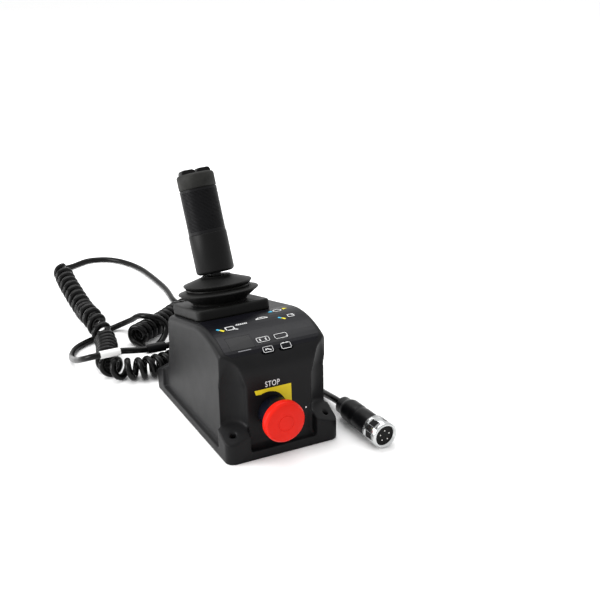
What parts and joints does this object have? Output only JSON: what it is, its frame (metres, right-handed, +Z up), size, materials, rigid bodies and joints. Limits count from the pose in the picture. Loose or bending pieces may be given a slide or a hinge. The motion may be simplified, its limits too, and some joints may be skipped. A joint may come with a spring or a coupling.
{
  "type": "scissor lift control box",
  "caption": "Hand control box with a sprung drive joystick, mushroom stop button, curved key panel and a curly cord that ends in a screw-on round plug.",
  "frame": {"origin": "middle of the base flange's underside, which is the plane that the box stands on", "axes": "+X right seen from the stop button, +Y to the rear, where the cord leaves, +Z up"},
  "size_m": [0.2257, 0.6495, 0.238],
  "materials": {
    "housing_black": "fine satin, slight grey sheen",
    "overlay_black": "smooth printed film",
    "key_dark": "matt film",
    "lens_dark": "glossy",
    "inner_plastic": "matt",
    "contact_red": "glossy",
    "stop_red": "satin gloss",
    "collar_black": "satin",
    "boot_rubber": "satin rubber",
    "grip_black": "satin",
    "grip_ribbed": "fine ribs",
    "cord_black": "glossy moulded",
    "plug_black": "satin",
    "label_white": "satin film",
    "nut_metal": "bright nickel",
    "steel": "plain",
    "yoke_metal": "cast",
    "board_green": "solder mask",
    "pin_brass": "gilt",
    "bush_brass": "plain"
  },
  "bodies": {
    "base": {"housing_shell": "housing_black", "panel_overlay": "overlay_black", "base_plate": "steel", "base_gasket": "boot_rubber", "base_plate_screws": "steel", "display_lens": "lens_dark", "display_module": "board_green", "circuit_board": "board_green", "board_screws": "steel", "tact_switches": "inner_plastic", "stop_collar": "collar_black", "stop_gasket": "boot_rubber", "stop_locknut": "steel", "stop_adapter": "inner_plastic", "stop_contacts": "contact_red", "joystick_body": "inner_plastic", "joystick_screws": "steel", "pivot_bushes": "bush_brass", "centring_springs": "steel", "position_sensor": "inner_plastic", "boot_frame": "steel", "boot_base": "boot_rubber", "boot_bellows": "boot_rubber", "gland_body": "collar_black", "gland_locknut": "collar_black", "gland_nut": "collar_black", "cord_seal": "boot_rubber", "cord_curls": "cord_black", "cord_loop": "cord_black", "cord_lead": "cord_black", "cord_sleeve": "plug_black", "label_sleeve": "label_white", "connector_body": "plug_black", "connector_insert": "inner_plastic", "connector_pins": "pin_brass"},
    "lever": {"pivot_pin": "steel", "sensor_magnet": "steel", "lever_yoke": "yoke_metal", "lever_shaft": "steel", "grip_lower": "grip_black", "grip_sleeve": "grip_ribbed", "grip_cap": "grip_black", "rocker_pin": "steel", "rocker_switch": "inner_plastic", "trigger_pin": "steel", "trigger_switch": "inner_plastic"},
    "rocker": {"thumb_rocker": "grip_black"},
    "trigger": {"enable_trigger": "grip_black"},
    "stop_plunger": {"stop_stem": "inner_plastic"},
    "stop_mushroom": {"stop_head": "stop_red"},
    "key_1": {"key_1": "key_dark"},
    "key_2": {"key_2": "key_dark"},
    "key_3": {"key_3": "key_dark"},
    "key_4": {"key_4": "key_dark"},
    "plug_ring": {"coupling_nut": "nut_metal"}
  },
  "joints": [
    {"name": "lever_tilt", "type": "hinge", "parent": "base", "child": "lever", "pos_m": [-0.008, 0.0228, 0.08242], "axis": [1, 0, 0], "range_deg": [-20, 20], "stiffness_Nm_per_rad": 2.5, "deforming": ["boot_bellows"]},
    {"name": "rocker_tilt", "type": "hinge", "parent": "lever", "child": "rocker", "pos_m": [-0.01198, 0.06858, 0.22671], "axis": [-0.0047, -0.9397, 0.3419], "range_deg": [-8, 8], "stiffness_Nm_per_rad": 0.01},
    {"name": "trigger_press", "type": "hinge", "parent": "lever", "child": "trigger", "pos_m": [-0.01111, 0.07712, 0.20341], "axis": [-0.9991, -0.0098, -0.0407], "range_deg": [0, 8], "stiffness_Nm_per_rad": 0.02, "springref_deg": -5.73},
    {"name": "stop_press", "type": "slide", "parent": "base", "child": "stop_plunger", "axis": [0, 1, 0], "range_m": [0, 0.0044], "stiffness_N_per_m": 400, "springref_m": -0.002},
    {"name": "stop_turn", "type": "hinge", "parent": "stop_plunger", "child": "stop_mushroom", "pos_m": [-0.0071, -0.11, 0.0412], "axis": [0, 1, 0], "range_deg": [0, 30], "stiffness_Nm_per_rad": 0.02, "springref_deg": -5.73},
    {"name": "key_1_press", "type": "slide", "parent": "base", "child": "key_1", "axis": [0, 0.4695, -0.8829], "range_m": [0, 0.0005], "stiffness_N_per_m": 60, "springref_m": -0.001},
    {"name": "key_2_press", "type": "slide", "parent": "base", "child": "key_2", "axis": [0, 0.4695, -0.8829], "range_m": [0, 0.0005], "stiffness_N_per_m": 60, "springref_m": -0.001},
    {"name": "key_3_press", "type": "slide", "parent": "base", "child": "key_3", "axis": [0, 0.4695, -0.8829], "range_m": [0, 0.0005], "stiffness_N_per_m": 60, "springref_m": -0.001},
    {"name": "key_4_press", "type": "slide", "parent": "base", "child": "key_4", "axis": [0, 0.4695, -0.8829], "range_m": [0, 0.0005], "stiffness_N_per_m": 60, "springref_m": -0.001},
    {"name": "plug_ring_spin", "type": "hinge", "parent": "base", "child": "plug_ring", "pos_m": [0.08579, -0.12401, 0.01275], "axis": [0.0523, -0.9986, 0], "continuous": true}
  ]
}
